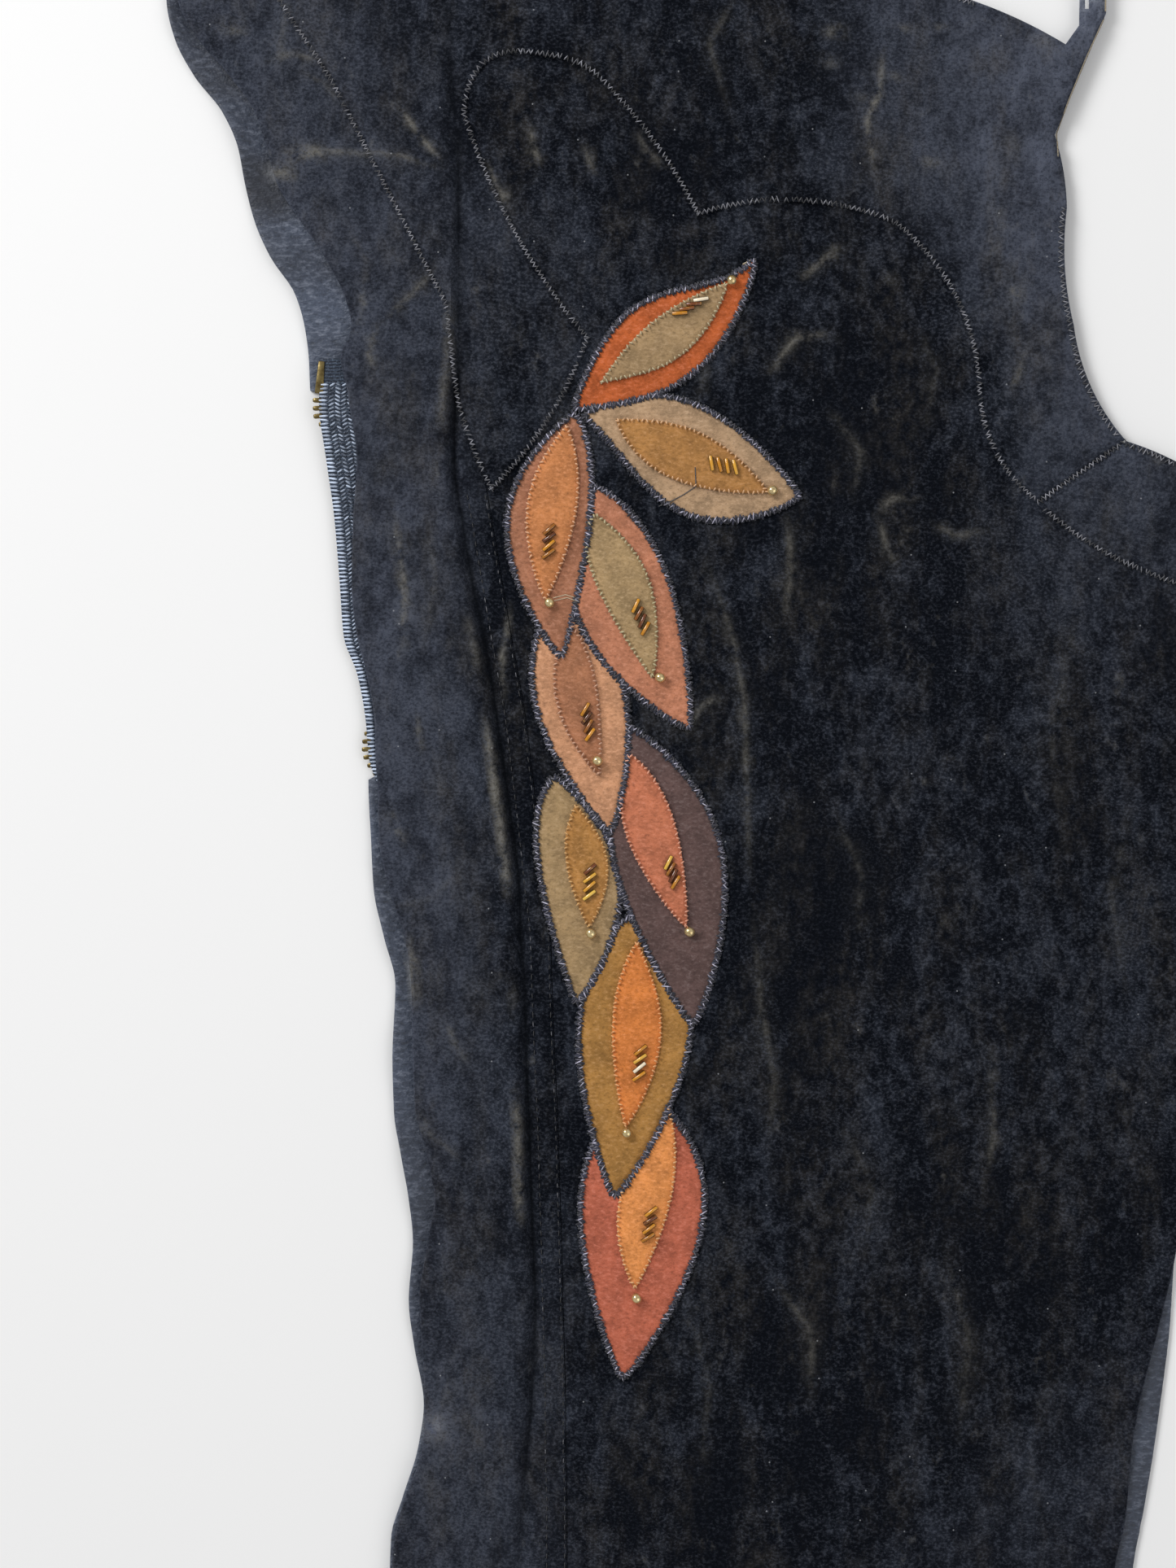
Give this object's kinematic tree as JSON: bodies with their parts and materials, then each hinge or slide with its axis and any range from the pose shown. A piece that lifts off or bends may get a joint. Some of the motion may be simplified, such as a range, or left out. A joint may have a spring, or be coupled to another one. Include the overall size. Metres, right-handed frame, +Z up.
{
  "type": "leather chaps",
  "caption": "Suede show chaps laid flat and face up, side zips open, with scalloped yokes and a trail of two-tone leaf appliques down each leg.",
  "frame": {"origin": "centre of the laid-out garment's footprint, on the surface that it rests on", "axes": "+Y runs from the hems up to the waist, +X to the wearer's left leg, +Z up out of the front"},
  "size_m": [0.7968, 1.016, 0.011],
  "materials": {
    "suede": "black-blue suede with a soft nap, dusty in the creases",
    "suede_flap": "the same suede, nap brushed lighter on the side flap",
    "suede_yoke": "the same suede on the yoke, worn paler along its edge",
    "grain": "smooth blue-grey grain side, fine creases",
    "tape": "navy ribbed zip tape",
    "brass": "dull brass",
    "leaf_1": "dyed suede applique",
    "leaf_2": "dyed suede applique",
    "leaf_3": "dyed suede applique",
    "leaf_4": "dyed suede applique",
    "leaf_5": "dyed suede applique",
    "leaf_6": "dyed suede applique",
    "leaf_7": "dyed suede applique",
    "leaf_8": "dyed suede applique",
    "leaf_9": "dyed suede applique",
    "inlay_1": "dyed suede applique",
    "inlay_2": "dyed suede applique",
    "inlay_3": "dyed suede applique",
    "inlay_4": "dyed suede applique",
    "inlay_5": "dyed suede applique",
    "inlay_6": "dyed suede applique",
    "inlay_7": "dyed suede applique",
    "inlay_8": "dyed suede applique",
    "inlay_9": "dyed suede applique"
  },
  "bodies": {
    "root": {"back_r": "grain", "back_l": "grain", "front_r": "suede", "front_l": "suede", "flap_r": "suede_flap", "flap_l": "suede_flap", "yoke_r": "suede_yoke", "yoke_l": "suede_yoke", "crotch_piece_r": "suede_yoke", "crotch_piece_l": "suede_yoke", "zip_tape_front_r": "tape", "zip_tape_front_l": "tape", "zip_tape_back_r": "tape", "zip_tape_back_l": "tape", "zip_slider_r": "brass", "zip_slider_l": "brass", "leaf_1_r": "leaf_1", "leaf_1_l": "leaf_1", "leaf_2_r": "leaf_2", "leaf_2_l": "leaf_2", "leaf_3_r": "leaf_3", "leaf_3_l": "leaf_3", "leaf_4_r": "leaf_4", "leaf_4_l": "leaf_4", "leaf_5_r": "leaf_5", "leaf_5_l": "leaf_5", "leaf_6_r": "leaf_6", "leaf_6_l": "leaf_6", "leaf_7_r": "leaf_7", "leaf_7_l": "leaf_7", "leaf_8_r": "leaf_8", "leaf_8_l": "leaf_8", "leaf_9_r": "leaf_9", "leaf_9_l": "leaf_9", "inlay_1_r": "inlay_1", "inlay_1_l": "inlay_1", "inlay_2_r": "inlay_2", "inlay_2_l": "inlay_2", "inlay_3_r": "inlay_3", "inlay_3_l": "inlay_3", "inlay_4_r": "inlay_4", "inlay_4_l": "inlay_4", "inlay_5_r": "inlay_5", "inlay_5_l": "inlay_5", "inlay_6_r": "inlay_6", "inlay_6_l": "inlay_6", "inlay_7_r": "inlay_7", "inlay_7_l": "inlay_7", "inlay_8_r": "inlay_8", "inlay_8_l": "inlay_8", "inlay_9_r": "inlay_9", "inlay_9_l": "inlay_9", "belt": "suede"}
  },
  "joints": []
}
